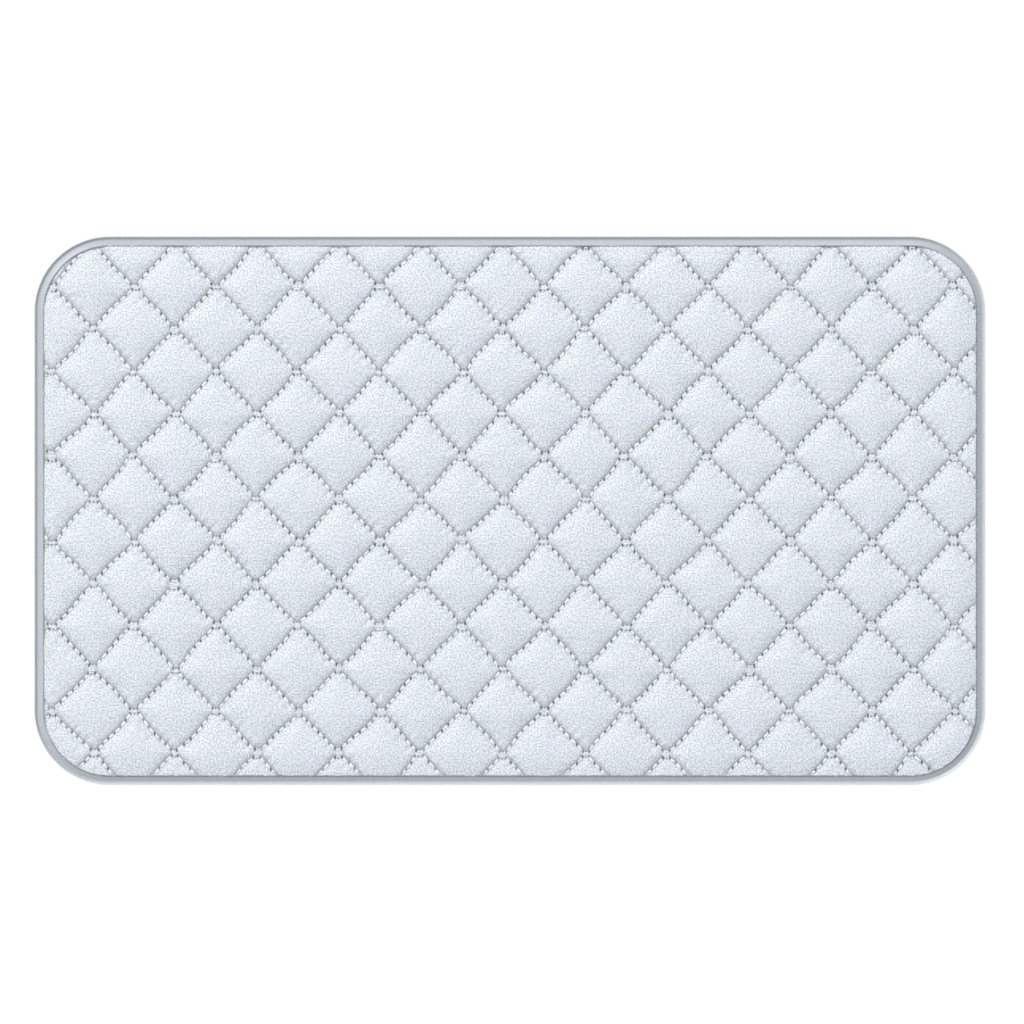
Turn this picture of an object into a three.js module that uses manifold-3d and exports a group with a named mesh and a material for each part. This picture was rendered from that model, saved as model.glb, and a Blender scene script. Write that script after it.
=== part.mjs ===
// Quilted ironing pad: face cloth, wadding, heat film and back cloth sewn through in diamonds and bound.
// Millimetres, +Z up, +X along the length. The origin is the middle of the underside, on the table.
import * as THREE from 'three';
import { mergeVertices } from 'three/addons/utils/BufferGeometryUtils.js';
import Module from 'manifold-3d';

// Outline over the binding
const PAD_LENGTH = 838;
const PAD_WIDTH = 483;
const CORNER_RADIUS = 66;
const CORNER_STEPS = 8;

// Quilting: zigzag seams that meet tip to tip and close in diamonds
const DIAMOND_LENGTH = 72.3;
const DIAMOND_WIDTH = 74.9;
const CROSSING_X = -6.1;
const CROSSING_Y = 10.3;
const SEAM_TURN = 1.2;

// Puffs between the seams: how far they rise, and how far from a seam they level out
const FACE_RISE = 3.8;
const FACE_SHOULDER = 16;
const BACK_SHOULDER = 8;
const EDGE_SHOULDER = 8;

// Layers, from the face down. The face cloth is bonded to foam and the back cloth to fleece,
// and both are pressed to these thicknesses under the seams
const FACE_SEAM_THICKNESS = 0.5;
const WADDING_THICKNESS = 1.5;
const FILM_THICKNESS = 0.15;
const BACK_SEAM_THICKNESS = 0.5;
const LAYER_GAP = 0.2;

// Sewing thread, flat side to the cloth
const THREAD_WIDTH = 1.1;
const THREAD_HEIGHT = 0.5;
const THREAD_SEAT = 0.35;

// Steps in which a leg of the zigzag is followed to the cut edge, and the least cosine of a straight run
const LEG_STEPS = 16;
const STRAIGHT_COSINE = 0.999999;

// Binding: a tape folded round the edge, with both lips sewn down in the ditch beside them
const BINDING_WIDTH = 7.4;
const FOLD_DEPTH = 3.2;
const FOLD_STEPS = 6;
const TAPE_THICKNESS = 0.7;
const TAPE_GAP = 0.2;
const LIP_CURL = 0.35;
const SHEET_EDGE_GAP = 0.3;
const DITCH_GAP = 0.3;

const FINISHES = {
  face: { color: '#e6ebf1', roughness: 0.75, metalness: 0 },
  wadding: { color: '#f3f3ef', roughness: 1, metalness: 0 },
  film: { color: '#c8cdd3', roughness: 0.25, metalness: 0.9 },
  back: { color: '#dde1e6', roughness: 0.85, metalness: 0 },
  binding: { color: '#a8b1ba', roughness: 0.45, metalness: 0 },
  quiltThread: { color: '#f6f8fa', roughness: 0.6, metalness: 0 },
  bindingThread: { color: '#8f98a2', roughness: 0.6, metalness: 0 },
};

// Heights, worked up from the table through the stack as it is under a seam
const bobbinTop = TAPE_THICKNESS + TAPE_GAP + THREAD_HEIGHT;
const backSeam = bobbinTop + THREAD_SEAT;
const backTop = backSeam + BACK_SEAM_THICKNESS;
const filmBase = backTop + LAYER_GAP;
const waddingBase = filmBase + FILM_THICKNESS + LAYER_GAP;
const faceBase = waddingBase + WADDING_THICKNESS + LAYER_GAP;
const faceSeam = faceBase + FACE_SEAM_THICKNESS;
const needleBase = faceSeam + THREAD_SEAT;
const bindingHeight = needleBase + THREAD_HEIGHT + TAPE_GAP + TAPE_THICKNESS;
const faceCrown = faceSeam + FACE_RISE;

// The fold is a half ellipse of even thickness, and the sheets reach into it as far as their corners allow
const foldHalf = bindingHeight / 2;
const channelTop = bindingHeight - TAPE_THICKNESS;
const channelHalf = foldHalf - TAPE_THICKNESS;
const channelDepth = FOLD_DEPTH - TAPE_THICKNESS;
const sheetHalf = (faceSeam - backSeam) / 2 + SHEET_EDGE_GAP;
const sheetInset = FOLD_DEPTH - channelDepth * Math.sqrt(1 - (sheetHalf / channelHalf) ** 2);
const ditchInset = BINDING_WIDTH + DITCH_GAP;
const quiltInset = ditchInset + THREAD_WIDTH + DITCH_GAP;
const threadInset = FOLD_DEPTH + THREAD_WIDTH;

const wasm = await Module();
wasm.setup();

function solidOf(geometry) {
  const bare = new THREE.BufferGeometry();
  bare.setAttribute('position', geometry.getAttribute('position'));
  bare.setIndex(geometry.getIndex());
  const merged = mergeVertices(bare, 1e-4);
  const vertProperties = new Float32Array(merged.getAttribute('position').array);
  const triVerts = new Uint32Array(merged.getIndex().array);
  return new wasm.Manifold(new wasm.Mesh({ numProp: 3, vertProperties, triVerts }));
}

function geometryOf(solid) {
  const mesh = solid.getMesh();
  const geometry = new THREE.BufferGeometry();
  geometry.setAttribute('position', new THREE.BufferAttribute(new Float32Array(mesh.vertProperties), 3));
  geometry.setIndex(new THREE.BufferAttribute(new Uint32Array(mesh.triVerts), 1));
  geometry.computeVertexNormals();
  return geometry;
}

// The rounded outline of the pad, drawn in by the inset, counter-clockwise
function outline(inset) {
  const radius = CORNER_RADIUS - inset;
  const points = [];
  for (const [signX, signY, quarter] of [[1, 1, 0], [-1, 1, 1], [-1, -1, 2], [1, -1, 3]]) {
    const centreX = signX * (PAD_LENGTH / 2 - CORNER_RADIUS);
    const centreY = signY * (PAD_WIDTH / 2 - CORNER_RADIUS);
    for (let step = 0; step <= CORNER_STEPS; step += 1) {
      const angle = (quarter + step / CORNER_STEPS) * Math.PI / 2;
      const x = centreX + radius * Math.cos(angle);
      const y = centreY + radius * Math.sin(angle);
      points.push(new THREE.Vector2(x, y));
    }
  }
  return points;
}

function plate(inset, bottom, top) {
  const shape = new THREE.Shape(outline(inset));
  const geometry = new THREE.ExtrudeGeometry(shape, { depth: top - bottom, bevelEnabled: false });
  return geometry.translate(0, 0, bottom);
}

// Joins rings of points with equal counts. A closed run meets its own start, an open one gets flat ends
function skin(rings, closed) {
  const count = rings[0].length;
  const positions = rings.flat().flatMap((point) => point.toArray());
  const triangles = [];
  const spans = closed ? rings.length : rings.length - 1;
  for (let span = 0; span < spans; span += 1) {
    const here = span * count;
    const there = ((span + 1) % rings.length) * count;
    for (let i = 0; i < count; i += 1) {
      const next = (i + 1) % count;
      triangles.push(here + i, here + next, there + next, here + i, there + next, there + i);
    }
  }
  if (!closed) {
    const last = (rings.length - 1) * count;
    for (let i = 1; i < count - 1; i += 1) {
      triangles.push(0, i + 1, i, last, last + i, last + i + 1);
    }
  }
  const geometry = new THREE.BufferGeometry();
  geometry.setAttribute('position', new THREE.Float32BufferAttribute(positions, 3));
  geometry.setIndex(triangles);
  geometry.computeVertexNormals();
  return geometry;
}

// A section of [inset, height] points carried round the outline
function edgeRun(section, closed) {
  const rings = section.map(([inset, height]) => (
    outline(inset).map((point) => new THREE.Vector3(point.x, point.y, height))
  ));
  return skin(rings, closed);
}

// The V groove of one seam: a wedge with its point on the seam and its sides rising past the shoulders
function seamGroove(along, through, seam, crown, shoulder) {
  const reach = 2 * shoulder;
  const top = seam + 2 * (crown - seam);
  const section = new THREE.Shape().moveTo(0, seam).lineTo(reach, top).lineTo(-reach, top).closePath();
  const length = 2 * Math.hypot(PAD_LENGTH, PAD_WIDTH);
  const wedge = new THREE.ExtrudeGeometry(section, { depth: length, bevelEnabled: false });
  const up = new THREE.Vector3(0, 0, 1);
  const place = new THREE.Matrix4().makeBasis(new THREE.Vector3().crossVectors(up, along), up, along);
  const start = through.clone().addScaledVector(along, -length / 2);
  return solidOf(wedge.applyMatrix4(place.setPosition(start)));
}

// Every seam groove that reaches the pad, in both directions of the diamonds
function quiltGrooves(seam, crown, shoulder) {
  const crossing = new THREE.Vector3(CROSSING_X, CROSSING_Y, 0);
  const reach = (PAD_LENGTH / 2 + Math.abs(CROSSING_X)) / DIAMOND_LENGTH;
  const count = Math.ceil(reach + (PAD_WIDTH / 2 + Math.abs(CROSSING_Y)) / DIAMOND_WIDTH);
  const grooves = [];
  for (const side of [1, -1]) {
    const along = new THREE.Vector3(side * DIAMOND_LENGTH, DIAMOND_WIDTH, 0).normalize();
    for (let index = -count; index <= count; index += 1) {
      const through = crossing.clone().add(new THREE.Vector3(index * DIAMOND_LENGTH, 0, 0));
      grooves.push(seamGroove(along, through, seam, crown, shoulder));
    }
  }
  return wasm.Manifold.union(grooves);
}

// A quilted slab from its base up to its puffs, which are drawn down to seam height beside the binding
function quiltedSlab(base, seam, crown, shoulder) {
  const dome = [[quiltInset, base], [quiltInset, seam], [quiltInset + EDGE_SHOULDER, crown]];
  const puffs = solidOf(edgeRun(dome, false)).subtract(quiltGrooves(seam, crown, shoulder));
  return geometryOf(puffs.add(solidOf(plate(sheetInset, base, seam))));
}

// The back is quilted as the face is, upside down, with its puffs pressed flat by the table
function backCloth() {
  const geometry = quiltedSlab(-backTop, -backSeam, 0, BACK_SHOULDER).scale(1, 1, -1);
  const index = geometry.getIndex();
  for (let i = 0; i < index.count; i += 3) {
    const second = index.getX(i + 1);
    index.setX(i + 1, index.getX(i + 2));
    index.setX(i + 2, second);
  }
  geometry.computeVertexNormals();
  return geometry;
}

// Half ellipse of the fold, from its lower end round to its upper one
function foldArc(depth, half) {
  const points = [];
  for (let step = 0; step <= FOLD_STEPS; step += 1) {
    const angle = (step / FOLD_STEPS - 0.5) * Math.PI;
    points.push([FOLD_DEPTH - depth * Math.cos(angle), foldHalf + half * Math.sin(angle)]);
  }
  return points;
}

function edgeBinding() {
  const upperLip = [[BINDING_WIDTH, bindingHeight - LIP_CURL], [BINDING_WIDTH, channelTop]];
  const lowerLip = [[BINDING_WIDTH, TAPE_THICKNESS], [BINDING_WIDTH, LIP_CURL]];
  const outside = foldArc(FOLD_DEPTH, foldHalf);
  const inside = foldArc(channelDepth, channelHalf).reverse();
  return edgeRun([...outside, ...upperLip, ...inside, ...lowerLip], true);
}

// Thread in the ditch beside a lip of the binding, from its flat side to its ridge
function bindingThread(flat, ridge) {
  const near = [ditchInset, flat];
  const far = [ditchInset + THREAD_WIDTH, flat];
  const top = [ditchInset + THREAD_WIDTH / 2, ridge];
  return edgeRun(ridge > flat ? [near, top, far] : [near, far, top], true);
}

// One thread along a path, with mitred corners: two points on the flat side and one on the ridge
function threadRun(path, flat, ridge) {
  const steps = path.slice(1).map((point, i) => point.clone().sub(path[i]).normalize());
  const rings = path.map((point, i) => {
    const leaving = steps[Math.min(i, steps.length - 1)];
    const along = steps[Math.max(i - 1, 0)].clone().add(leaving).normalize();
    const half = THREAD_WIDTH / 2 / along.dot(leaving);
    const left = new THREE.Vector3(point.x - half * along.y, point.y + half * along.x, flat);
    const right = new THREE.Vector3(point.x + half * along.y, point.y - half * along.x, flat);
    const top = new THREE.Vector3(point.x, point.y, ridge);
    return ridge > flat ? [right, left, top] : [left, right, top];
  });
  return skin(rings, false);
}

// Half the width that the threads may lie in, at a distance along the pad, and none past its ends
function threadRoom(x) {
  const radius = CORNER_RADIUS - threadInset;
  const past = Math.max(Math.abs(x) - (PAD_LENGTH / 2 - CORNER_RADIUS), 0);
  return past > radius ? 0 : PAD_WIDTH / 2 - CORNER_RADIUS + Math.sqrt(radius ** 2 - past ** 2);
}

// Whether a path turns at a point between its two neighbours
function turnsAt(before, point, after) {
  const arriving = point.clone().sub(before).normalize();
  const leaving = after.clone().sub(point).normalize();
  return arriving.dot(leaving) < STRAIGHT_COSINE;
}

// Zigzag of the row above a line of crossings. Where it passes the cut edge it runs along that edge under
// the binding, and it ends where it last leaves the pad
function zigzag(row) {
  const lowTip = CROSSING_Y + row * DIAMOND_WIDTH / 2 + SEAM_TURN;
  const legHeight = DIAMOND_WIDTH / 2 - 2 * SEAM_TURN;
  const legLength = DIAMOND_LENGTH / 2;
  const reach = Math.ceil((PAD_LENGTH / 2 + Math.abs(CROSSING_X)) / legLength) * LEG_STEPS;
  const sewn = [];
  for (let step = -reach; step <= reach; step += 1) {
    const legs = step / LEG_STEPS;
    const y = lowTip + legHeight * THREE.MathUtils.pingpong(legs - row, 1);
    sewn.push(new THREE.Vector2(CROSSING_X + legs * legLength, y));
  }
  const isInside = (point) => Math.abs(point.y) <= threadRoom(point.x);
  const path = sewn.slice(sewn.findIndex(isInside), sewn.findLastIndex(isInside) + 1);
  for (const point of path) {
    const room = threadRoom(point.x);
    point.y = THREE.MathUtils.clamp(point.y, -room, room);
  }
  const isEnd = (i) => i === 0 || i === path.length - 1;
  return path.filter((point, i) => isEnd(i) || turnsAt(path[i - 1], point, path[i + 1]));
}

const pad = new THREE.Group();

function addPiece(name, geometry, finish) {
  const mesh = new THREE.Mesh(geometry, new THREE.MeshStandardMaterial(finish));
  mesh.name = name;
  pad.add(mesh);
}

// One thread for each zigzag row that shows beside the binding
function addQuiltThreads(name, flat, ridge) {
  const rowHeight = DIAMOND_WIDTH / 2;
  const sewnHalf = PAD_WIDTH / 2 - ditchInset;
  const first = Math.floor((-sewnHalf - CROSSING_Y) / rowHeight);
  const last = Math.ceil((sewnHalf - CROSSING_Y) / rowHeight) - 1;
  for (let row = first; row <= last; row += 1) {
    const number = String(row - first + 1).padStart(2, '0');
    addPiece(`${name}_${number}`, threadRun(zigzag(row), flat, ridge), FINISHES.quiltThread);
  }
}

const face = quiltedSlab(faceBase, faceSeam, faceCrown, FACE_SHOULDER);
const wadding = plate(sheetInset, waddingBase, waddingBase + WADDING_THICKNESS);
const film = plate(sheetInset, filmBase, filmBase + FILM_THICKNESS);
const upperDitch = bindingThread(channelTop, channelTop + THREAD_HEIGHT);
const lowerDitch = bindingThread(TAPE_THICKNESS, TAPE_THICKNESS - THREAD_HEIGHT);
addPiece('face_cloth', face, FINISHES.face);
addPiece('wadding', wadding, FINISHES.wadding);
addPiece('heat_film', film, FINISHES.film);
addPiece('back_cloth', backCloth(), FINISHES.back);
addPiece('edge_binding', edgeBinding(), FINISHES.binding);
addPiece('binding_thread_face', upperDitch, FINISHES.bindingThread);
addPiece('binding_thread_back', lowerDitch, FINISHES.bindingThread);
addQuiltThreads('needle_thread', needleBase, needleBase + THREAD_HEIGHT);
addQuiltThreads('bobbin_thread', bobbinTop, bobbinTop - THREAD_HEIGHT);

export default pad;
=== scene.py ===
"""Looks of a quilted ironing pad: puffed cloth, separate stitches, folded binding and the layers between."""
import math

import bpy
import numpy as np
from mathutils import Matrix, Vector, noise


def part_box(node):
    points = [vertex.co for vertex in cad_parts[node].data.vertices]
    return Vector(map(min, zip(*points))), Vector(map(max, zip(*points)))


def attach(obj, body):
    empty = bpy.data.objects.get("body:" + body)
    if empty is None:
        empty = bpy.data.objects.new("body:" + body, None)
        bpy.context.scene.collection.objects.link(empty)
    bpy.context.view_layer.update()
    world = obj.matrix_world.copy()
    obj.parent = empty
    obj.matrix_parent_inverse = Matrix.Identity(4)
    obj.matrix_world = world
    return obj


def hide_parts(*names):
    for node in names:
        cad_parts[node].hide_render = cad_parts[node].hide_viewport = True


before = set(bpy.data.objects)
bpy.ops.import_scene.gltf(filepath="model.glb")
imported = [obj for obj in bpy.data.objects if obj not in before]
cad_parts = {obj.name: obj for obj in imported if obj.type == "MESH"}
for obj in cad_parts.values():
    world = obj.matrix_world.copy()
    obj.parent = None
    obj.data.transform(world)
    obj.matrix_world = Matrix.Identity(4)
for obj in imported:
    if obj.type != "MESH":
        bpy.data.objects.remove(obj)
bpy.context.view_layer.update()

MM = 0.001


def node_box(name):
    """Lowest and highest corner of a solid, in millimetres."""
    low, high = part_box(name)
    return np.array(low) / MM, np.array(high) / MM


# Sizes in millimetres. The pad's length, width and heights come from the solids
HALF_LENGTH, HALF_WIDTH, BINDING_TOP = node_box("edge_binding")[1]
FACE_BASE = node_box("face_cloth")[0][2]
BACK_TOP = node_box("back_cloth")[1][2]
SHEET_INSET = HALF_LENGTH - node_box("face_cloth")[1][0]
CORNER_RADIUS = 66.0
SEAM_THICKNESS = 0.5
FACE_SEAM = FACE_BASE + SEAM_THICKNESS
BACK_SEAM = BACK_TOP - SEAM_THICKNESS

# Lengths that count as none, on the cloth and in a division
NEAR = 0.1
TINY = 1e-9

# Quilting: zigzag rows that meet tip to tip and close in diamonds
DIAMOND_LENGTH = 72.3
DIAMOND_WIDTH = 74.9
CROSSING_X = -6.1
CROSSING_Y = 10.3
ROW_HEIGHT = DIAMOND_WIDTH / 2
SIDE_LENGTH = math.hypot(DIAMOND_LENGTH, DIAMOND_WIDTH) / 2
STITCHES_PER_SIDE = 7
STEPS_PER_STITCH = 4
FINE_STEPS = STITCHES_PER_SIDE * STEPS_PER_STITCH
SIM_STEPS = FINE_STEPS // 2
TIP_STEPS = STEPS_PER_STITCH // 2
TIP_HALF = DIAMOND_LENGTH / 2 * TIP_STEPS / FINE_STEPS
TIP_HEIGHT = DIAMOND_WIDTH / 2 * TIP_STEPS / FINE_STEPS

# Where the seams turn, the needle steps sideways, so the tips are wider than the diamonds' own corners.
# No two tips are sewn quite alike, and the rows wander
TIP_SPREAD = (-0.4, 1.6)
TIP_OPENING = (-1.2, 1.8)
TIP_BEND = 1.3
TIP_SHIFT = 0.9
TIP_REACH = 7.0
WANDER = 0.32
WANDER_LENGTHS = (28, 110)
WANDER_WAVES = 9

# Puffs, from simulated cloth that is cut a little larger than the seams hold it
START_RISE = 2.6
PUFF_POWER = 3.0
PUFF_VARIATION = 0.12
CLOTH_SPARE = 0.008
CLOTH_PRESSURE = 60
SIM_FRAMES = 14
MOVE_CAP = 5.0
EDGE_HELD = 8.3
EDGE_RISE = 2.2
EDGE_LIFT = 0.85
EDGE_LOWER = 0.45
EDGE_REACH = 20.0

# Marks that the stitches leave in the cloth, and painted shade in the cloth's colour in the holes, beside the
# seams, under the tips and in the ditch. Uneven forms are given as waves of noise here and below, each with
# its height, its length and a seed
HOLE_DEPTH = 0.4
HOLE_SHADE = (0.75, 1.5)
PUCKER_HEIGHT = 0.5
PUCKER_WAVES = ((1, 13, 7.3),)
PUCKER_REACH = 2.5
UPPER_PUCKERS = 0.45
CROSSING_LIFT = 0.7
SADDLE_SPREAD = 2
SADDLE_SHARPNESS = 1.7
CREASE_REACH = 1.65
CREASE_OFFSET = 1.9
CREASE_ABOVE = 0.44
CREASE_BELOW = 0.33
BARE_ACROSS = 1.1
BARE_UP = 0.9
TIP_SHADE = 0.8
DITCH_SHADE = 0.45

# Stitches of the quilting and of the binding seam. The tubes have so many sides and rings
THREAD_WIDTH = 2.0
TIP_THREAD_WIDTH = 1.3
THREAD_HEIGHT = 0.9
THREAD_LIFT = 0.42
THREAD_TURNS = 5
THREAD_UNEVEN = 0.16
THREAD_ENDS_INSET = 9.0
HOLE_GAP = 0.95
LEAST_LENGTH = 0.3
RING_CROWDING = 0.6
ARCH_POWER = 4
END_PLUMPNESS = 0.55
NEEDLE_TUBE = (6, 6)
BOBBIN_TUBE = (5, 5)
DITCH_TUBE = (6, 5)
DITCH_INSET = 8.05
DITCH_WIDTH = 0.9
DITCH_HEIGHT = 0.5
DITCH_STITCH = 3.4
DITCH_LIFT = 0.15
DITCH_LEVEL = 6.15

# Binding tape, seen as a bead that falls to a rolled lip
BINDING_WIDTH = 7.5
FOLD_DEPTH = 3.2
TAPE_THICKNESS = 0.7
CREST_INSET = 3.0
CREST_HEIGHT = 7.6
LIP_HEIGHT = 6.25
FALL_POWER = 1.1
STRAIGHT_STEP = 3.0
CORNER_STEP = 1.6
BINDING_SWAY = ((0.12, 60, 3.3), (0.07, 17, 8.1))
BINDING_SWELL = ((0.12, 35, 5.7), (0.06, 9, 1.9))

# Points of the tape's section. A lip's are back from its end, and up from the table or down from its top.
# Angles in degrees and shares of the fall are given as the first, the last and their number
LOWER_LIP = ((0, 0.45), (0.15, 0.12), (0.5, 0))
UPPER_LIP = ((0.05, 0.15), (-0.05, 0.3))
INNER_LIP = 0.1
LIP_FLAT = 2
UNDERSIDE_POINTS = 3
CHANNEL_DROP = 0.25
FOLD_ANGLES = (-80, 0, 7)
BEAD_ANGLES = (12, 90, 8)
CHANNEL_ANGLES = (90, -90, 9)
FALL_SHARES = (0.2, 0.9, 6)

# Layers below the face
BACK_SLOPE = 8.5
BACK_EDGE_HELD = 9.1
BACK_EDGE_SLOPE = 9
WADDING_SINK = 0.12
WADDING_LUMPS = ((0.06, 14, 2.2), (0.06, 5, 6.4))
WADDING_GROOVE = 0.3
WADDING_GROOVE_REACH = 4
FILM_CRINKLES = ((0.06, 9, 4.6),)

# A wave texture has so many waves in a metre at a scale of 1
WAVES_PER_METRE = 10 / math.pi
WEAVE_DISTORTION = 0.6

# Stage: the floor's side in metres and its level, and the camera with the width that it sees at the seams
FLOOR_SIZE = 40.0
FLOOR_LEVEL = -0.05
CAMERA_LENS = 200
SENSOR_WIDTH = 36
VIEW_WIDTH = 902.8
VIEW_OFFSET_X = 1.8
VIEW_OFFSET_Y = -1.06

# Lights: the distance in metres, then azimuth and elevation, and how wide each light looks, in degrees
LIGHT_DISTANCE = 14.0
KEY_STRENGTH = 2.88
KEY_COLOUR = (0.987, 0.968, 0.949)
KEY_ANGLES = (117, 56)
KEY_SOFTNESS = 30
RIM_STRENGTH = 3.75
RIM_ANGLES = (-50, 40)
RIM_SOFTNESS = 40
FLOOR_STRENGTH = 2.6
FLOOR_ANGLES = (90, 90)
FLOOR_SOFTNESS = 60
WORLD_STRENGTH = 0.44
WORLD_COLOUR = (0.91, 0.975, 1.06)

# Tables of chance, with room for every crossing. Numbers below zero count from a table's end
RANDOM = np.random.default_rng(7)
CROSSINGS = 41
tip_shifts = RANDOM.uniform(-TIP_SHIFT, TIP_SHIFT, (CROSSINGS, CROSSINGS))
tip_openings = RANDOM.uniform(*TIP_OPENING, (CROSSINGS, CROSSINGS))
tip_spreads = RANDOM.uniform(*TIP_SPREAD, (CROSSINGS, CROSSINGS))
puff_sizes = RANDOM.uniform(1 - PUFF_VARIATION, 1 + PUFF_VARIATION, (CROSSINGS, CROSSINGS))
wander_lengths = RANDOM.uniform(*WANDER_LENGTHS, WANDER_WAVES)
wander_angles = RANDOM.uniform(0, 2 * math.pi, (3, WANDER_WAVES))


# Outline of the pad

def outline_measures(x, y):
    """Depth inside the pad's outline, and the outward direction there."""
    past_x = np.abs(x) - (HALF_LENGTH - CORNER_RADIUS)
    past_y = np.abs(y) - (HALF_WIDTH - CORNER_RADIUS)
    corner = (past_x > 0) & (past_y > 0)
    from_centre = np.hypot(past_x, past_y)
    out = np.where(corner, from_centre, np.maximum(past_x, past_y)) - CORNER_RADIUS
    safe = np.maximum(from_centre, TINY)
    along_x = np.where(corner, past_x / safe, past_x >= past_y) * np.sign(x)
    along_y = np.where(corner, past_y / safe, past_x < past_y) * np.sign(y)
    return -out, along_x, along_y


def outline_run():
    """Points of the core that the outline is wrapped round, their outward directions, and the outline's
    length up to each."""
    cores = []
    normals = []
    quarter = math.pi / 2
    arc_steps = round(CORNER_RADIUS * quarter / CORNER_STEP)
    core_x = HALF_LENGTH - CORNER_RADIUS
    core_y = HALF_WIDTH - CORNER_RADIUS
    corners = [(core_x, core_y), (-core_x, core_y), (-core_x, -core_y), (core_x, -core_y)]
    for number, centre in enumerate(corners):
        for step in range(arc_steps + 1):
            angle = (number + step / arc_steps) * quarter
            cores.append(centre)
            normals.append((math.cos(angle), math.sin(angle)))
        following = corners[(number + 1) % len(corners)]
        straight = math.dist(centre, following)
        count = round(straight / STRAIGHT_STEP)
        for step in range(1, count):
            share = step / count
            cores.append([a + (b - a) * share for a, b in zip(centre, following)])
            normals.append(normals[-1])
    cores = np.array(cores)
    normals = np.array(normals)
    points = cores + normals * CORNER_RADIUS
    lengths = np.linalg.norm(np.roll(points, -1, axis=0) - points, axis=1)
    return cores, normals, np.concatenate([[0], np.cumsum(lengths)])


# Lattice of the quilting

class Lattice:
    """Points along the two seam directions, with whole steps on each side of a diamond. Those near the line
    where the binding holds the cloth are moved onto it."""

    def __init__(self, steps):
        across = (HALF_LENGTH + abs(CROSSING_X)) / DIAMOND_LENGTH
        reach = steps * math.ceil(across + (HALF_WIDTH + abs(CROSSING_Y)) / DIAMOND_WIDTH)
        index = np.arange(-reach, reach + 1)
        self.steps = steps
        self.i, self.j = np.meshgrid(index, index, indexing="ij")
        self.x, self.y = seam_point(self.i / steps, self.j / steps)
        self.depth, self.out_x, self.out_y = outline_measures(self.x, self.y)
        off_edge = self.depth - EDGE_HELD
        snapped = np.where(np.abs(off_edge) < SIDE_LENGTH / steps / 2, off_edge, 0)
        self.x += snapped * self.out_x
        self.y += snapped * self.out_y
        self.depth -= snapped
        self.a = np.mod(self.i, steps) / steps
        self.b = np.mod(self.j, steps) / steps
        self.from_a = np.minimum(self.a, 1 - self.a) * SIDE_LENGTH
        self.from_b = np.minimum(self.b, 1 - self.b) * SIDE_LENGTH
        self.from_seam = np.minimum(self.from_a, self.from_b)
        _, _, self.off_x, self.off_y = from_crossing(self.i / steps, self.j / steps)

    def flat(self, height):
        """The points, all at one height."""
        return np.stack([self.x, self.y, np.full(self.x.shape, height)], -1)

    def uneven(self, height, waves):
        """Waves of noise at the points, all at one height."""
        return noise_waves(self.flat(height).reshape(-1, 3), waves).reshape(self.x.shape)

    def puffs(self, crown):
        """Height of the puffs over the seams: flat crowns with steep sides, pressed down by the binding."""
        side_a = 1 - np.abs(2 * self.a - 1) ** PUFF_POWER
        side_b = 1 - np.abs(2 * self.b - 1) ** PUFF_POWER
        rise = crown * side_a * side_b * puff_sizes[self.i // self.steps, self.j // self.steps]
        rise *= 1 - EDGE_LOWER + EDGE_LOWER * smooth_step((self.depth - EDGE_HELD) / EDGE_REACH)
        free = smooth_step((self.depth - EDGE_HELD) / EDGE_RISE)
        return np.minimum(rise, EDGE_LIFT) + np.maximum(rise - EDGE_LIFT, 0) * free


def wander(x, y):
    """Sideways drift of the sewing, smooth over the pad."""
    heading, phase_x, phase_y = wander_angles
    way = np.multiply.outer(x, np.cos(heading)) + np.multiply.outer(y, np.sin(heading))
    turn = 2 * math.pi * way / wander_lengths
    return WANDER * np.sin(turn + phase_x).sum(-1), WANDER * np.sin(turn + phase_y).sum(-1)


def from_crossing(a, b):
    """Numbers of the nearest crossing of the seams, and the way from it."""
    m = np.round(a).astype(int)
    n = np.round(b).astype(int)
    off_a = a - m
    off_b = b - n
    return m, n, (off_a - off_b) * DIAMOND_LENGTH / 2, (off_a + off_b) * DIAMOND_WIDTH / 2


def seam_point(a, b):
    """Place on the pad of a point given in diamond sides, with the tips of the zigzags spread sideways."""
    x = CROSSING_X + (a - b) * DIAMOND_LENGTH / 2
    y = CROSSING_Y + (a + b) * DIAMOND_WIDTH / 2
    m, n, off_x, off_y = from_crossing(a, b)
    beyond_tip = np.maximum(off_x ** 2 + off_y ** 2 - TIP_HALF ** 2 - TIP_HEIGHT ** 2, 0)
    near = np.exp(-beyond_tip / TIP_REACH ** 2)
    sideways = np.clip(off_x / TIP_HALF, -1, 1)
    upward = np.clip(off_y / TIP_HEIGHT, -1, 1)
    drift_x, drift_y = wander(x, y)
    x = x + drift_x + near * (tip_spreads[m, n] * sideways + tip_shifts[m, n] * upward)
    y = y + drift_y + near * tip_openings[m, n] * upward
    return x, y


def smooth_step(value):
    """Rises from 0 to 1 between values of 0 and 1, level at both ends."""
    value = np.clip(value, 0, 1)
    return value * value * (3 - 2 * value)


def noise_waves(points, waves):
    """Sum of the waves of smooth noise at each point."""
    total = np.zeros(len(points))
    for height, length, seed in waves:
        scaled = points / length + seed
        total += height * np.array([noise.noise(Vector(point)) for point in scaled])
    return total


# Meshes

def new_piece(name, points, faces, material):
    """A smooth-shaded object with its points in millimetres."""
    mesh = bpy.data.meshes.new(name)
    mesh.from_pydata((np.asarray(points) * MM).tolist(), [], faces)
    mesh.shade_smooth()
    mesh.materials.append(material)
    piece = bpy.data.objects.new(name, mesh)
    bpy.context.scene.collection.objects.link(piece)
    return piece


def add_attribute(piece, name, values):
    """A value at each point, for the piece's material."""
    attribute = piece.data.attributes.new(name, "FLOAT", "POINT")
    attribute.data.foreach_set("value", np.asarray(values, dtype=np.float32))


def corners_of(grid):
    """Views of a grid that give the four corners of each of its cells, in order round the cell."""
    return grid[:-1, :-1], grid[1:, :-1], grid[1:, 1:], grid[:-1, 1:]


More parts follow.
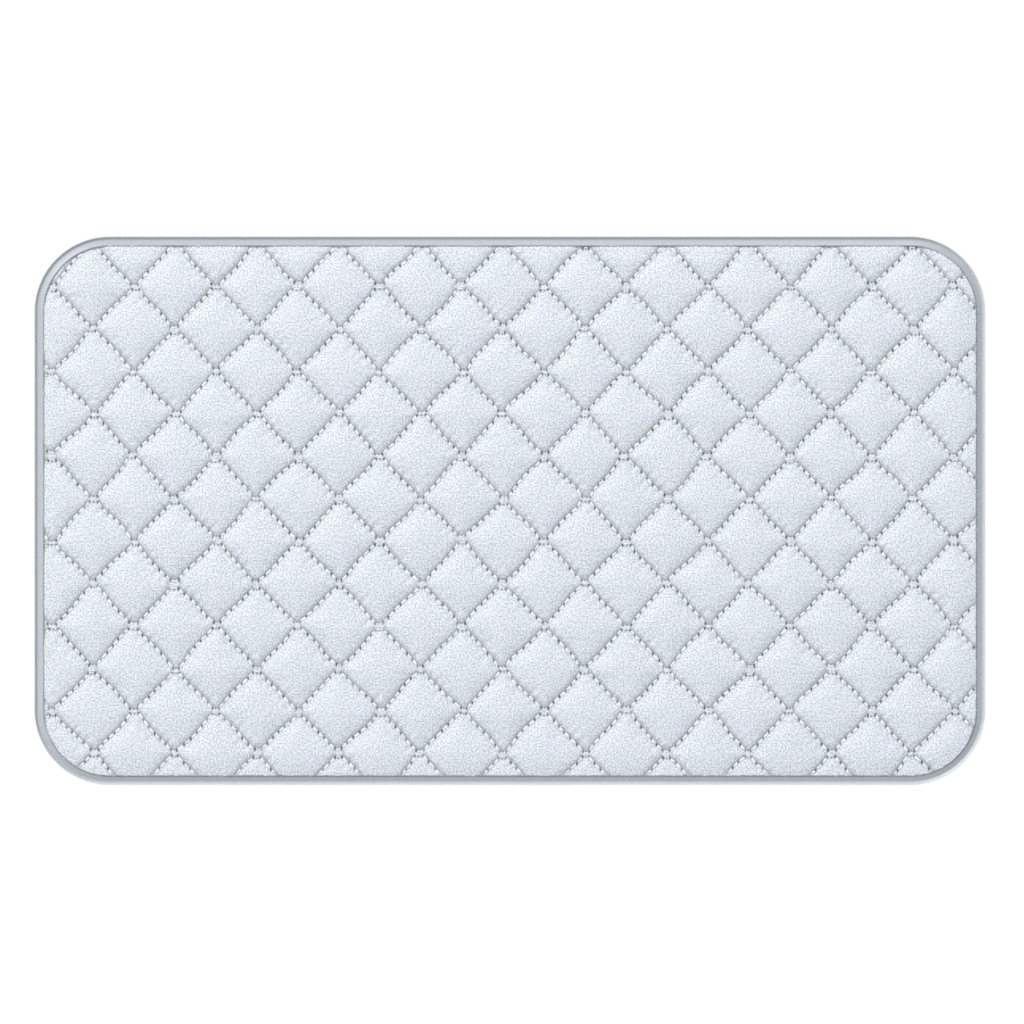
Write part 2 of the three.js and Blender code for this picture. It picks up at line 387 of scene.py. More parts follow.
def kept_cells(lattice, border):
    """Quads of the lattice that reach inside the border, and the points that they use."""
    inside = lattice.depth > border
    cells = np.any(corners_of(inside), axis=0)
    used = np.zeros_like(inside)
    for corner in corners_of(used):
        corner |= cells
    number = np.full(inside.shape, -1)
    number[used] = np.arange(used.sum())
    return np.stack(corners_of(number), -1)[cells], used


def rim_of(quads):
    """Numbers of the points round the open edge of a sheet of quads, in order."""
    edges = np.concatenate([quads[:, [k, (k + 1) % 4]] for k in range(4)])
    pairs, uses = np.unique(np.sort(edges, axis=1), axis=0, return_counts=True)
    open_edges = {tuple(pair) for pair in pairs[uses == 1]}
    following = {a: b for a, b in edges.tolist() if (min(a, b), max(a, b)) in open_edges}
    start = next(iter(following))
    rim = [start]
    while following[rim[-1]] != start:
        rim.append(following[rim[-1]])
    return rim


def slab(name, lattice, surface, base, material, shades=None):
    """A closed layer: a surface over the lattice, cut at the sheets' edge, with a flat other side."""
    quads, used = kept_cells(lattice, SHEET_INSET)
    points = surface[used]
    past = np.maximum(SHEET_INSET - lattice.depth[used], 0)
    points[:, 0] -= past * lattice.out_x[used]
    points[:, 1] -= past * lattice.out_y[used]
    rim = rim_of(quads)
    lower = points[rim]
    lower[:, 2] = base
    count = len(points)
    faces = quads.tolist()
    for k, here in enumerate(rim):
        k_next = (k + 1) % len(rim)
        faces.append([rim[k_next], here, count + k, count + k_next])
    faces.append(list(range(count + len(rim) - 1, count - 1, -1)))
    if base > points[:, 2].mean():
        faces = [face[::-1] for face in faces]
    piece = new_piece(name, np.concatenate([points, lower]), faces, material)
    if shades is not None:
        # Painted shade, kept on the points so that the material darkens the colour there
        add_attribute(piece, "painted_shade", np.concatenate([shades[used], np.zeros(len(rim))]))
    return piece


def tube_faces(count, sides, rings, order):
    """Faces of closed tubes whose points run round ring after ring. An order of -1 turns them over."""
    tube_points = rings * sides
    faces = []
    for first in range(0, count * tube_points, tube_points):
        for ring in range(rings - 1):
            low = first + ring * sides
            for side in range(sides):
                turn = (side + 1) % sides
                faces.append([low + side, low + sides + side, low + sides + turn, low + turn][::order])
        faces.append(list(range(first, first + sides))[::order])
        faces.append(list(range(first + tube_points - sides, first + tube_points))[::-order])
    return faces


def tubes(name, starts, ends, bends, widths, height, lift, gap, tube, material):
    """Separate stitches: short flattened tubes that arch from hole to hole, with their ends in the holes."""
    sides, rings = tube
    shares = np.linspace(-1, 1, rings)
    shares = np.sign(shares) * np.abs(shares) ** RING_CROWDING
    angles = np.arange(sides) / sides * 2 * math.pi
    along = ends - starts
    length = np.linalg.norm(along[:, :2], axis=1)
    across = np.stack([-along[:, 1], along[:, 0], np.zeros(len(along))], -1) / length[:, None]
    arch = 1 - shares ** ARCH_POWER
    plump = END_PLUMPNESS + (1 - END_PLUMPNESS) * arch
    drawn_in = along * np.maximum(1 - 2 * gap / length, LEAST_LENGTH)[:, None]
    uneven = RANDOM.normal(0, THREAD_UNEVEN, (3, len(starts), 1))
    middles = (starts + ends) / 2 + across * uneven[0]
    drawn_in += across * uneven[1]
    centres = middles[:, None] + drawn_in[:, None] * shares[:, None] / 2
    centres += bends[:, None] * (1 - shares ** 2)[:, None]
    centres[..., 2] += lift * (2 * arch - 1)
    half_widths = widths[:, None] / 2 * (1 + uneven[2])
    wide = (half_widths * plump)[..., None] * np.cos(angles)
    high = (height / 2 * plump)[:, None] * np.sin(angles)
    points = centres[:, :, None] + across[:, None, None] * wide[..., None]
    points[..., 2] += high * math.copysign(1, lift)
    faces = tube_faces(len(starts), sides, rings, -1 if lift > 0 else 1)
    piece = new_piece(name, points.reshape(-1, 3), faces, material)
    twist = shares[:, None] * THREAD_TURNS / 2 + angles / math.pi / 2
    add_attribute(piece, "twist", np.tile(np.abs(np.mod(twist, 1) * 2 - 1).ravel(), len(starts)))
    return piece


# Face cloth

def inflated(lattice):
    """Moves of the cloth out of its first shape: pinned on the seams and under the binding, and blown up
    between."""
    start = lattice.flat(FACE_SEAM)
    start[..., 2] += lattice.puffs(START_RISE)
    quads, used = kept_cells(lattice, SHEET_INSET)
    mesh = bpy.data.meshes.new("inflating")
    mesh.from_pydata((start[used] * MM).tolist(), [], quads.tolist())
    sheet = bpy.data.objects.new("inflating", mesh)
    bpy.context.scene.collection.objects.link(sheet)
    held = (lattice.a == 0) | (lattice.b == 0) | (lattice.depth < EDGE_HELD + EDGE_RISE / 2)
    pins = sheet.vertex_groups.new(name="pins")
    pins.add(np.flatnonzero(held[used]).tolist(), 1.0, "REPLACE")
    cloth = sheet.modifiers.new("cloth", "CLOTH")
    cloth.settings.vertex_group_mass = pins.name
    cloth.settings.use_pressure = True
    cloth.settings.uniform_pressure_force = CLOTH_PRESSURE
    cloth.settings.effector_weights.gravity = 0
    cloth.settings.shrink_min = -CLOTH_SPARE
    cloth.collision_settings.use_collision = False
    cloth.point_cache.frame_end = SIM_FRAMES
    scene = bpy.context.scene
    for number in range(1, SIM_FRAMES + 1):
        scene.frame_set(number)
    ended = sheet.evaluated_get(bpy.context.evaluated_depsgraph_get())
    places = np.empty(len(mesh.vertices) * 3)
    ended.data.vertices.foreach_get("co", places)
    bpy.data.objects.remove(sheet)
    scene.frame_set(1)
    moved = places.reshape(-1, 3) / MM - start[used]
    far = np.linalg.norm(moved, axis=1, keepdims=True)
    moved *= np.minimum(1, MOVE_CAP / np.maximum(far, TINY))
    moves = np.zeros(start.shape)
    moves[used] = moved
    return moves


def doubled(values, axis):
    """Halves the steps of the simulated lattice along one axis, with the seams left sharp. The new points lie
    on a cubic through four points, and beside a seam on a parabola through three."""
    values = np.moveaxis(values, axis, 0)
    first = np.arange(len(values) - 1)
    before = values[np.maximum(first - 1, 0)]
    here = values[:-1]
    after = values[1:]
    beyond = values[np.minimum(first + 2, len(values) - 1)]
    phase = (first % SIM_STEPS).reshape(-1, 1, 1)
    middle = (9 * here + 9 * after - before - beyond) / 16
    middle = np.where(phase == 0, (3 * here + 6 * after - beyond) / 8, middle)
    middle = np.where(phase == SIM_STEPS - 1, (6 * here + 3 * after - before) / 8, middle)
    fine = np.empty((2 * len(values) - 1,) + values.shape[1:])
    fine[0::2] = values
    fine[1::2] = middle
    return np.moveaxis(fine, 0, axis)


def puffed_surface(lattice):
    """The puffs by formula, moved on by a simulation on a coarser lattice."""
    surface = lattice.flat(FACE_SEAM)
    surface[..., 2] += lattice.puffs(START_RISE)
    return surface + doubled(doubled(inflated(Lattice(SIM_STEPS)), 0), 1)


def holes_in(lattice):
    """Points where the needle went through: in the middle of each stitch's steps, along both seams."""
    middle = STEPS_PER_STITCH // 2
    along_a = (lattice.b == 0) & (np.mod(lattice.i, STEPS_PER_STITCH) == middle)
    along_b = (lattice.a == 0) & (np.mod(lattice.j, STEPS_PER_STITCH) == middle)
    return along_a | along_b


def crease_shade(lattice, holes):
    """Shade of the cloth beside the stitching: dark in the holes, under the tips and where a puff tucks under
    above a seam, fainter below it, and bare between two tips at a crossing. The ditch beside the binding has
    a shade of its own."""
    above = np.minimum(lattice.a, lattice.b) * SIDE_LENGTH - CREASE_OFFSET
    below = (1 - np.maximum(lattice.a, lattice.b)) * SIDE_LENGTH
    shade = np.maximum(
        CREASE_ABOVE * np.exp(-(above / CREASE_REACH) ** 2),
        CREASE_BELOW * np.exp(-(below / CREASE_REACH) ** 2),
    )
    off_x = np.abs(lattice.off_x)
    off_y = np.abs(lattice.off_y)
    shade[(off_x < TIP_HALF * BARE_ACROSS) & (off_y < TIP_HEIGHT * BARE_UP)] = 0
    shade[(off_x < NEAR) & (np.abs(off_y - TIP_HEIGHT) < NEAR)] = TIP_SHADE
    shade[holes] = RANDOM.uniform(*HOLE_SHADE, holes.sum())
    return np.where(lattice.depth < EDGE_HELD - NEAR, DITCH_SHADE, shade)


def puckers(lattice):
    """Small ridges that run off the seams between the holes, weaker on the upper sides of the diamonds, and
    the cloth that stands up between two tips."""
    from_a = lattice.from_a / PUCKER_REACH
    from_b = lattice.from_b / PUCKER_REACH
    off_crossing = 1 - np.exp(-from_a ** 2 - from_b ** 2)
    share_a = np.where(lattice.b < 0.5, 1, UPPER_PUCKERS)
    share_b = np.where(lattice.a < 0.5, 1, UPPER_PUCKERS)
    beside_a = share_a * from_b * np.exp(1 - from_b) * np.cos(2 * math.pi * lattice.i / STEPS_PER_STITCH)
    beside_b = share_b * from_a * np.exp(1 - from_a) * np.cos(2 * math.pi * lattice.j / STEPS_PER_STITCH)
    along = lattice.off_x / TIP_HALF / SADDLE_SPREAD
    across = lattice.off_y / TIP_HEIGHT * SADDLE_SHARPNESS
    saddle = np.exp(-along ** 2 - across ** 2)
    uneven = 1 + lattice.uneven(0, PUCKER_WAVES)
    return PUCKER_HEIGHT * uneven * off_crossing * (beside_a + beside_b) + CROSSING_LIFT * saddle


def face_cloth(material):
    """The puffed face, with puckers and needle holes."""
    lattice = Lattice(FINE_STEPS)
    surface = puffed_surface(lattice)
    inside = lattice.depth > EDGE_HELD + EDGE_RISE
    surface[..., 2] += inside * puckers(lattice)
    holes = holes_in(lattice) & (lattice.depth > EDGE_HELD)
    surface[holes, 2] = FACE_SEAM - HOLE_DEPTH
    shade = crease_shade(lattice, holes)
    return slab("quilted_face_cloth", lattice, surface, FACE_BASE, material, shade)


# Quilting threads

def zigzag_stitches(row):
    """Start and end of each stitch of a zigzag row, in diamond sides, and which way its thread bends round
    a tip."""
    reach = math.ceil(HALF_LENGTH / DIAMOND_LENGTH + HALF_WIDTH / DIAMOND_WIDTH) + 1
    hole = TIP_STEPS / FINE_STEPS
    pitch = STEPS_PER_STITCH / FINE_STEPS
    stitches = []
    for m in range(-reach, reach + 1):
        n = row - m
        for stitch in range(STITCHES_PER_SIDE - 1):
            near = hole + stitch * pitch
            stitches.append((m + near, n, m + near + pitch, n, 0))
            stitches.append((m, n + near, m, n + near + pitch, 0))
        stitches.append((m, n + hole, m + hole, n, -1))
        stitches.append((m + 1 - hole, n, m + 1, n - hole, 1))
    return np.array(stitches).T


def quilt_thread(name, row, height, lift, tube, material):
    """Stitches of one zigzag row, cut off beside the binding."""
    start_a, start_b, end_a, end_b, bend = zigzag_stitches(row)
    starts = np.stack(seam_point(start_a, start_b), -1)
    ends = np.stack(seam_point(end_a, end_b), -1)
    start_depth = outline_measures(starts[:, 0], starts[:, 1])[0] - THREAD_ENDS_INSET
    end_depth = outline_measures(ends[:, 0], ends[:, 1])[0] - THREAD_ENDS_INSET
    cut = start_depth / np.where(start_depth == end_depth, 1, start_depth - end_depth)
    met = starts + (ends - starts) * cut[:, None]
    starts = np.where((start_depth < 0)[:, None], met, starts)
    ends = np.where((end_depth < 0)[:, None], met, ends)
    shown = (start_depth > 0) | (end_depth > 0)
    shown &= np.linalg.norm(ends - starts, axis=1) > THREAD_WIDTH / 2
    levels = np.full((shown.sum(), 1), height)
    starts = np.hstack([starts[shown], levels])
    ends = np.hstack([ends[shown], levels])
    bends = np.zeros(starts.shape)
    bends[:, 1] = bend[shown] * TIP_BEND
    bends[:, 2] = -np.abs(bend[shown]) * lift / 2
    widths = np.where(bend[shown] == 0, THREAD_WIDTH, TIP_THREAD_WIDTH)
    return tubes(name, starts, ends, bends, widths, THREAD_HEIGHT, lift, HOLE_GAP, tube, material)


# Binding

def arc(angles, inset, depth, height, rise):
    """Points of an arc that bulges outward, as inset and height."""
    turns = np.radians(np.linspace(*angles))
    return [(inset - depth * math.cos(turn), height + rise * math.sin(turn)) for turn in turns]


def binding_section():
    """Outside and inside of the folded tape as inset and height: from the lower lip round the edge to the
    upper lip, and back from the upper lip to the lower one."""
    middle = BINDING_TOP / 2
    flat_end = BINDING_WIDTH - LIP_FLAT
    outside = [(BINDING_WIDTH - back, height) for back, height in LOWER_LIP]
    outside += [(inset, 0) for inset in np.linspace(flat_end, FOLD_DEPTH, UNDERSIDE_POINTS)]
    outside += arc(FOLD_ANGLES, FOLD_DEPTH, FOLD_DEPTH, middle, middle)
    outside += arc(BEAD_ANGLES, CREST_INSET, CREST_INSET, middle, CREST_HEIGHT - middle)
    for share in np.linspace(*FALL_SHARES):
        inset = CREST_INSET + (BINDING_WIDTH - CREST_INSET) * share
        outside.append((inset, CREST_HEIGHT - (CREST_HEIGHT - LIP_HEIGHT) * share ** FALL_POWER))
    outside += [(BINDING_WIDTH - back, LIP_HEIGHT - down) for back, down in UPPER_LIP]
    lip_end = BINDING_WIDTH - INNER_LIP
    inside = [(lip_end, LIP_HEIGHT - TAPE_THICKNESS)]
    inside.append((flat_end, BINDING_TOP - TAPE_THICKNESS - CHANNEL_DROP))
    inside += arc(CHANNEL_ANGLES, FOLD_DEPTH, FOLD_DEPTH - TAPE_THICKNESS, middle, middle - TAPE_THICKNESS)
    inside += [(flat_end, TAPE_THICKNESS), (lip_end, TAPE_THICKNESS)]
    return np.array(outside), np.array(inside)


def edge_binding(material):
    """The tape all the way round, a little uneven along its lips and its bead."""
    section = np.concatenate(binding_section())
    cores, normals, run = outline_run()
    count = len(section)
    inset = np.tile(section[:, 0], (len(cores), 1))
    height = np.tile(section[:, 1], (len(cores), 1))
    rings = np.stack([run[:-1], np.zeros(len(cores)), np.zeros(len(cores))], -1)
    sway = noise_waves(rings, BINDING_SWAY)
    swell = noise_waves(rings, BINDING_SWELL)
    toward_lip = smooth_step((section[:, 0] - FOLD_DEPTH) / (BINDING_WIDTH - FOLD_DEPTH))
    upper = smooth_step((section[:, 1] - BINDING_TOP / 2) / (BINDING_TOP / 2))
    inset += sway[:, None] * toward_lip
    height += swell[:, None] * upper * (section[:, 1] > BINDING_TOP - TAPE_THICKNESS)
    flat = cores[:, None] + normals[:, None] * (CORNER_RADIUS - inset)[..., None]
    points = np.concatenate([flat, height[..., None]], -1)
    faces = []
    for ring in range(len(cores)):
        here = ring * count
        there = (ring + 1) % len(cores) * count
        for k in range(count):
            following = (k + 1) % count
            faces.append([there + k, there + following, here + following, here + k])
    piece = new_piece("folded_edge_binding", points.reshape(-1, 3), faces, material)
    # Painted shade: a factor that darkens the tape's colour low down on its outer side
    add_attribute(piece, "low", 1 - smooth_step(height.ravel() / BINDING_TOP))
    return piece


def ditch_thread(name, height, lift, material):
    """Stitches of the binding seam, in the ditch beside a lip."""
    cores, normals, _ = outline_run()
    path = cores + normals * (CORNER_RADIUS - DITCH_INSET)
    path = np.vstack([path, path[:1]])
    run = np.concatenate([[0], np.cumsum(np.linalg.norm(np.diff(path, axis=0), axis=1))])
    count = round(run[-1] / DITCH_STITCH)
    holes = np.linspace(0, run[-1], count + 1)
    x, y = (np.interp(holes, run, path[:, axis]) for axis in range(2))
    places = np.stack([x, y, np.full(count + 1, height)], -1)
    bends = np.zeros((count, 3))
    widths = np.full(count, DITCH_WIDTH)
    gap = 0
    return tubes(name, places[:-1], places[1:], bends, widths, DITCH_HEIGHT, lift, gap, DITCH_TUBE, material)


# Layers below the face

def back_cloth(material):
    """The back, pressed flat on the table and drawn up at the seams and the edge."""
    lattice = Lattice(SIM_STEPS)
    surface = lattice.flat(0)
    pressed = smooth_step(lattice.from_seam / BACK_SLOPE)
    pressed *= smooth_step((lattice.depth - BACK_EDGE_HELD) / BACK_EDGE_SLOPE)
    surface[..., 2] = BACK_SEAM * (1 - pressed)
    # Painted shade along the seams, for the material to darken the colour
    shade = CREASE_ABOVE * np.exp(-(lattice.from_seam / CREASE_REACH) ** 2)
    return slab("quilted_back_cloth", lattice, surface, BACK_TOP, material, shade)


def wadding(material):
    """Lumpy wadding, with a faint groove along each seam."""
    low, high = node_box("wadding")
    lattice = Lattice(SIM_STEPS)
    surface = lattice.flat(high[2])
    surface[..., 2] -= WADDING_SINK + lattice.uneven(high[2], WADDING_LUMPS)
    surface[..., 2] -= WADDING_GROOVE * np.exp(-(lattice.from_seam / WADDING_GROOVE_REACH) ** 2)
    return slab("needled_wadding", lattice, surface, low[2], material)


def heat_film(material):
    """Thin film with sharp crinkles."""
    low, high = node_box("heat_film")
    lattice = Lattice(SIM_STEPS)
    surface = lattice.flat(high[2])
    surface[..., 2] -= np.abs(lattice.uneven(high[2], FILM_CRINKLES))
    return slab("crinkled_heat_film", lattice, surface, low[2], material)


# Materials

class Finish:
    """A material whose nodes are added and joined by short calls."""

    def __init__(self, name, roughness, metallic=0.0, sheen=0.0):
        self.material = bpy.data.materials.new(name)
        self.material.use_nodes = True
        self.tree = self.material.node_tree
        self.shader = self.tree.nodes["Principled BSDF"]
        self.shader.inputs["Roughness"].default_value = roughness
        self.shader.inputs["Metallic"].default_value = metallic
        self.shader.inputs["Sheen Weight"].default_value = sheen
        self.place = self.node("ShaderNodeTexCoord").outputs["Object"]
        self.bumped = None

    def node(self, kind, **settings):
        made = self.tree.nodes.new(kind)
        for key, value in settings.items():
            setattr(made, key, value)
        return made

    def join(self, output, socket):
        self.tree.links.new(output, socket)

    def noise(self, size, detail=2.0, stretch=None, dimensions="3D"):
        """Noise with lumps of that size in millimetres. In 2D it leaves out the height and is more even."""
        texture = self.node("ShaderNodeTexNoise", noise_dimensions=dimensions)
        texture.inputs["Scale"].default_value = 1 / (size * MM)
        texture.inputs["Detail"].default_value = detail
        place = self.place
        if stretch:
            mapping = self.node("ShaderNodeMapping")
            mapping.inputs["Scale"].default_value = stretch
            self.join(place, mapping.inputs["Vector"])
            place = mapping.outputs["Vector"]
        self.join(place, texture.inputs["Vector"])
        return texture.outputs["Fac"]

    def weave(self, size):
        """Over and under of a plain weave with threads of that width in millimetres."""
        waves = []
        for direction in ("X", "Y"):
            wave = self.node("ShaderNodeTexWave", bands_direction=direction, wave_profile="SIN")
            wave.inputs["Scale"].default_value = 1 / (WAVES_PER_METRE * size * MM)
            wave.inputs["Distortion"].default_value = WEAVE_DISTORTION
            self.join(self.place, wave.inputs["Vector"])
            waves.append(wave.outputs["Fac"])
        return self.product(*waves)

    def product(self, first, second):
        made = self.node("ShaderNodeMath", operation="MULTIPLY")
        self.join(first, made.inputs[0])
        self.join(second, made.inputs[1])
        return made.outputs[0]

    def attribute(self, name):
        return self.node("ShaderNodeAttribute", attribute_name=name).outputs["Fac"]

    def ramp(self, factor, *stops):
        """Colours at places along a factor."""
        made = self.node("ShaderNodeValToRGB")
        elements = made.color_ramp.elements
        while len(elements) < len(stops):
            elements.new(0.5)
        for element, (place, colour) in zip(elements, stops):
            element.position = place
            element.color = (*colour, 1)
        self.join(factor, made.inputs["Fac"])
        return made.outputs["Color"]

    def mix(self, factor, first, second, blend="MIX"):
        """Two colours mixed. The factor and the colours are outputs or plain values."""
        made = self.node("ShaderNodeMix", data_type="RGBA", blend_type=blend)
        colours = [socket for socket in made.inputs if socket.type == "RGBA"]
        if isinstance(factor, float):
            made.inputs["Factor"].default_value = factor
        else:
            self.join(factor, made.inputs["Factor"])
        for socket, value in zip(colours, (first, second)):
            if isinstance(value, tuple):
                socket.default_value = (*value, 1)
            else:
                self.join(value, socket)
        return next(socket for socket in made.outputs if socket.type == "RGBA")

    def colour(self, output):
        self.join(output, self.shader.inputs["Base Color"])

    def roughness(self, factor, low, high):
        spread = self.node("ShaderNodeMapRange")
        spread.inputs["To Min"].default_value = low
        spread.inputs["To Max"].default_value = high
        self.join(factor, spread.inputs["Value"])
        self.join(spread.outputs["Result"], self.shader.inputs["Roughness"])

    def bump(self, height, depth, strength=1.0):
        """A bump of that depth in millimetres, on top of the ones before it."""
        made = self.node("ShaderNodeBump")
        made.inputs["Distance"].default_value = depth * MM
        made.inputs["Strength"].default_value = strength
        self.join(height, made.inputs["Height"])
        if self.bumped:
            self.join(self.bumped, made.inputs["Normal"])
        self.bumped = made.outputs["Normal"]
        self.join(self.bumped, self.shader.inputs["Normal"])


def coated_cotton():
    """Pale heathered cloth, clouded and faintly wrinkled in patches, with painted shade in the holes, the
    creases and the ditch.
    """
    finish = Finish("coated_cotton", roughness=0.6, sheen=0.15)
    grain = finish.noise(size=1.4, dimensions="2D")
    cloth = finish.ramp(
        grain,
        (0.33, (0.454, 0.508, 0.55)),
        (0.46, (0.649, 0.688, 0.753)),
        (0.54, (0.711, 0.742, 0.777)),
        (0.67, (0.906, 0.914, 0.925)),
    )
    clouds = finish.ramp(
        finish.noise(size=24, stretch=(1, 1.6, 1)),
        (0.3, (0.955, 0.97, 0.95)),
        (0.5, (0.99, 0.985, 0.985)),
        (0.7, (1, 0.985, 1)),
    )
    cloth = finish.mix(1.0, cloth, clouds, "MULTIPLY")
    # Painted shade: darkens the cloth's colour in the holes, beside the seams, under the tips and in the
    # ditch
    finish.colour(finish.mix(finish.attribute("painted_shade"), cloth, (0.09, 0.1, 0.115)))
    finish.roughness(finish.noise(size=4), low=0.56, high=0.64)
    wrinkles = finish.noise(size=3.4, stretch=(0.22, 1, 1))
    patches = finish.ramp(finish.noise(size=45), (0.4, (0, 0, 0)), (0.62, (1, 1, 1)))
    finish.bump(finish.product(wrinkles, patches), depth=0.68)
    finish.bump(finish.weave(size=0.7), depth=0.06, strength=0.6)
    finish.bump(grain, depth=0.2, strength=0.8)
    return finish.material


def satin_tape():
    """Smooth grey tape, with painted shade low down at the edge."""
    finish = Finish("satin_tape", roughness=0.38, sheen=0.25)
    sheen = finish.noise(size=2.2)
    tape = finish.ramp(sheen, (0.3, (0.382, 0.403, 0.418)), (0.7, (0.433, 0.453, 0.472)))
    # Painted shade: the tape's colour darkens low down on its outer side
    finish.colour(finish.mix(finish.attribute("low"), tape, (0.228, 0.239, 0.252)))
    finish.roughness(finish.noise(size=5), low=0.32, high=0.45)
    finish.bump(finish.noise(size=3.2, detail=3), depth=0.08, strength=0.6)
    return finish.material


def sewing_thread(name, dark, light):
    """Twisted thread, with painted shade between its strands."""
    finish = Finish(name, roughness=0.5, sheen=0.2)
    twist = finish.attribute("twist")
    # Painted shade: the colour darkens from the light one to the dark one between the strands
    finish.colour(finish.ramp(twist, (0.0, dark), (0.35, light), (1.0, light)))
    finish.bump(twist, depth=0.12, strength=0.8)
    finish.bump(finish.noise(size=0.3), depth=0.05, strength=0.5)
    return finish.material


def plain_cotton():
    """Uncoated cloth with slubs, and painted shade along the seams."""
    finish = Finish("plain_cotton", roughness=0.85, sheen=0.3)
    slubs = finish.noise(size=1.1, detail=3)
    cloth = finish.ramp(slubs, (0.3, (0.60, 0.63, 0.67)), (0.7, (0.72, 0.74, 0.77)))
    # Painted shade: darkens the back's colour along the seams
    finish.colour(finish.mix(finish.attribute("painted_shade"), cloth, (0.2, 0.21, 0.23)))
    finish.roughness(finish.noise(size=3), low=0.78, high=0.92)
    finish.bump(finish.weave(size=0.6), depth=0.1, strength=0.8)
    return finish.material


def needled_fibre():
    """Matt white fibres that lie mostly one way."""
    finish = Finish("needled_fibre", roughness=1.0, sheen=0.4)
    fibres = finish.noise(size=0.8, detail=6, stretch=(1, 0.3, 1))
    finish.colour(finish.ramp(fibres, (0.25, (0.72, 0.72, 0.70)), (0.75, (0.92, 0.92, 0.90))))
    finish.bump(fibres, depth=0.4, strength=0.9)
    return finish.material


def metallised_film():
    """Bright film with fine crinkles."""
    finish = Finish("metallised_film", roughness=0.25, metallic=0.9)
    crinkles = finish.noise(size=6, detail=4)
    finish.colour(finish.ramp(crinkles, (0.3, (0.62, 0.64, 0.67)), (0.7, (0.80, 0.81, 0.83))))
    finish.roughness(finish.noise(size=2), low=0.18, high=0.35)
    finish.bump(crinkles, depth=0.15, strength=0.8)
    return finish.material


def pale_floor():
    """Nearly white ground."""
    finish = Finish("pale_floor", roughness=0.8)
    finish.colour(finish.ramp(finish.noise(size=90), (0.3, (0.93, 0.93, 0.93)), (0.7, (0.95, 0.95, 0.95))))
    return finish.material


# Stage

def add_floor():
    """A square of ground under the pad."""
    half = FLOOR_SIZE / 2 / MM
    sides = [(-half, -half), (half, -half), (half, half), (-half, half)]
    corners = [(x, y, FLOOR_LEVEL) for x, y in sides]
    floor = new_piece("pale_floor", corners, [[0, 1, 2, 3]], pale_floor())
    return floor


def new_sun(name, strength, softness):
    """A soft lamp from so far off that it is even all over."""
    lamp = bpy.data.lights.new(name, "SUN")
    lamp.energy = strength
    lamp.angle = math.radians(softness)
    return lamp


def new_softbox(name, strength, softness):
    """A lamp like a sun of that softness and strength, but near enough to fall off across the pad."""
    lamp = bpy.data.lights.new(name, "AREA")
    lamp.shape = "DISK"
    lamp.size = 2 * LIGHT_DISTANCE * math.tan(math.radians(softness) / 2)
    lamp.energy = strength * math.pi * LIGHT_DISTANCE ** 2
    return lamp


def aim(lamp, angles, receivers, state):
    """Stands a lamp at those angles from the pad, turned to it. It lights only, or all but, the receivers."""
    light = bpy.data.objects.new(lamp.name, lamp)
    bpy.context.scene.collection.objects.link(light)
    azimuth, elevation = (math.radians(angle) for angle in angles)
    level = math.cos(elevation)
    toward = Vector((math.cos(azimuth) * level, math.sin(azimuth) * level, math.sin(elevation)))
    light.location = toward * LIGHT_DISTANCE
    light.rotation_mode = "QUATERNION"
    light.rotation_quaternion = toward.to_track_quat("Z", "Y")
    lit = bpy.data.collections.new(lamp.name + "_receivers")
    for piece in receivers:
        lit.objects.link(piece)
    for entry in lit.collection_objects:
        entry.light_linking.link_state = state
    light.light_linking.receiver_collection = lit


def add_world():
    """Even light from all round."""
    world = bpy.data.worlds.new("studio")
    world.use_nodes = True
    background = world.node_tree.nodes["Background"]
    background.inputs["Color"].default_value = (*WORLD_COLOUR, 1)
    background.inputs["Strength"].default_value = WORLD_STRENGTH
    bpy.context.scene.world = world


def add_camera():
    """The photograph's view, straight down."""
    lens = bpy.data.cameras.new("photo_camera")
    lens.lens = CAMERA_LENS
    lens.sensor_width = SENSOR_WIDTH
    camera = bpy.data.objects.new("photo_camera", lens)
    bpy.context.scene.collection.objects.link(camera)
    distance = VIEW_WIDTH * CAMERA_LENS / SENSOR_WIDTH
    camera.location = np.array([VIEW_OFFSET_X, VIEW_OFFSET_Y, distance + FACE_SEAM]) * MM
    bpy.context.scene.camera = camera


# The pad, piece by piece

def place(piece, slot, node):
    """Hangs a piece on the root body and hides the solid that it stands for. The slot is not used."""
    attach(piece, "root")
    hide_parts(node)


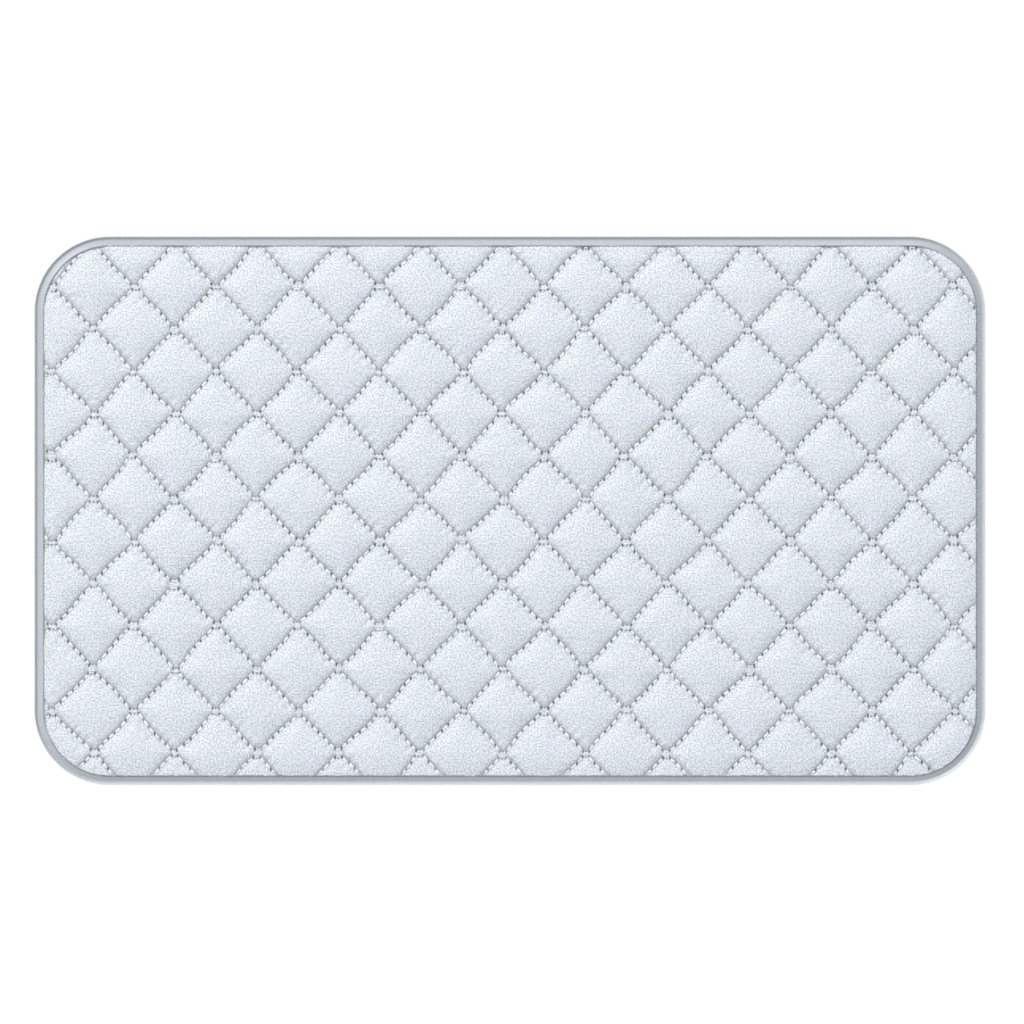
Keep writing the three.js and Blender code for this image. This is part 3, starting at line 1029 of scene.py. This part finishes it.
def add_quilt_threads(material):
    """Needle stitches on the face and bobbin stitches on the back, one piece for each thread's solid."""
    for node in sorted(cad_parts):
        kind, _, number = node.partition("_thread_")
        if kind not in ("needle", "bobbin"):
            continue
        row = round((node_box(node)[0][1] - CROSSING_Y) / ROW_HEIGHT)
        name = f"{kind}_stitches_{number}"
        if kind == "needle":
            piece = quilt_thread(name, row, FACE_SEAM, THREAD_LIFT, NEEDLE_TUBE, material)
        else:
            piece = quilt_thread(name, row, BACK_SEAM, -THREAD_LIFT, BOBBIN_TUBE, material)
        place(piece, "quilt_thread", node)


face = face_cloth(coated_cotton())
place(face, "face_cloth", "face_cloth")

fill = wadding(needled_fibre())
place(fill, "wadding", "wadding")

film = heat_film(metallised_film())
place(film, "heat_film", "heat_film")

back = back_cloth(plain_cotton())
place(back, "back_cloth", "back_cloth")

binding = edge_binding(satin_tape())
place(binding, "binding", "edge_binding")

grey_thread = sewing_thread("grey_thread", dark=(0.2, 0.22, 0.24), light=(0.36, 0.39, 0.42))
upper_ditch = ditch_thread("binding_stitches_face", DITCH_LEVEL, DITCH_LIFT, grey_thread)
place(upper_ditch, "binding_thread", "binding_thread_face")
lower_ditch = ditch_thread("binding_stitches_back", BINDING_TOP - DITCH_LEVEL, -DITCH_LIFT, grey_thread)
place(lower_ditch, "binding_thread", "binding_thread_back")
add_quilt_threads(sewing_thread("white_thread", dark=(0.58, 0.61, 0.64), light=(0.86, 0.88, 0.9)))

tape_width = np.linalg.norm(np.diff(binding_section()[0], axis=0), axis=1).sum() * MM
tape_length = outline_run()[2][-1] * MM

floor = add_floor()
add_world()
add_camera()
key = new_softbox("key", KEY_STRENGTH, KEY_SOFTNESS)
key.color = KEY_COLOUR
rim = new_sun("rim", RIM_STRENGTH, RIM_SOFTNESS)
floor_light = new_sun("floor_light", FLOOR_STRENGTH, FLOOR_SOFTNESS)
aim(key, KEY_ANGLES, receivers=[binding, floor], state="EXCLUDE")
aim(rim, RIM_ANGLES, receivers=[binding], state="INCLUDE")
aim(floor_light, FLOOR_ANGLES, receivers=[floor], state="INCLUDE")
bpy.context.scene.view_settings.view_transform = "Standard"
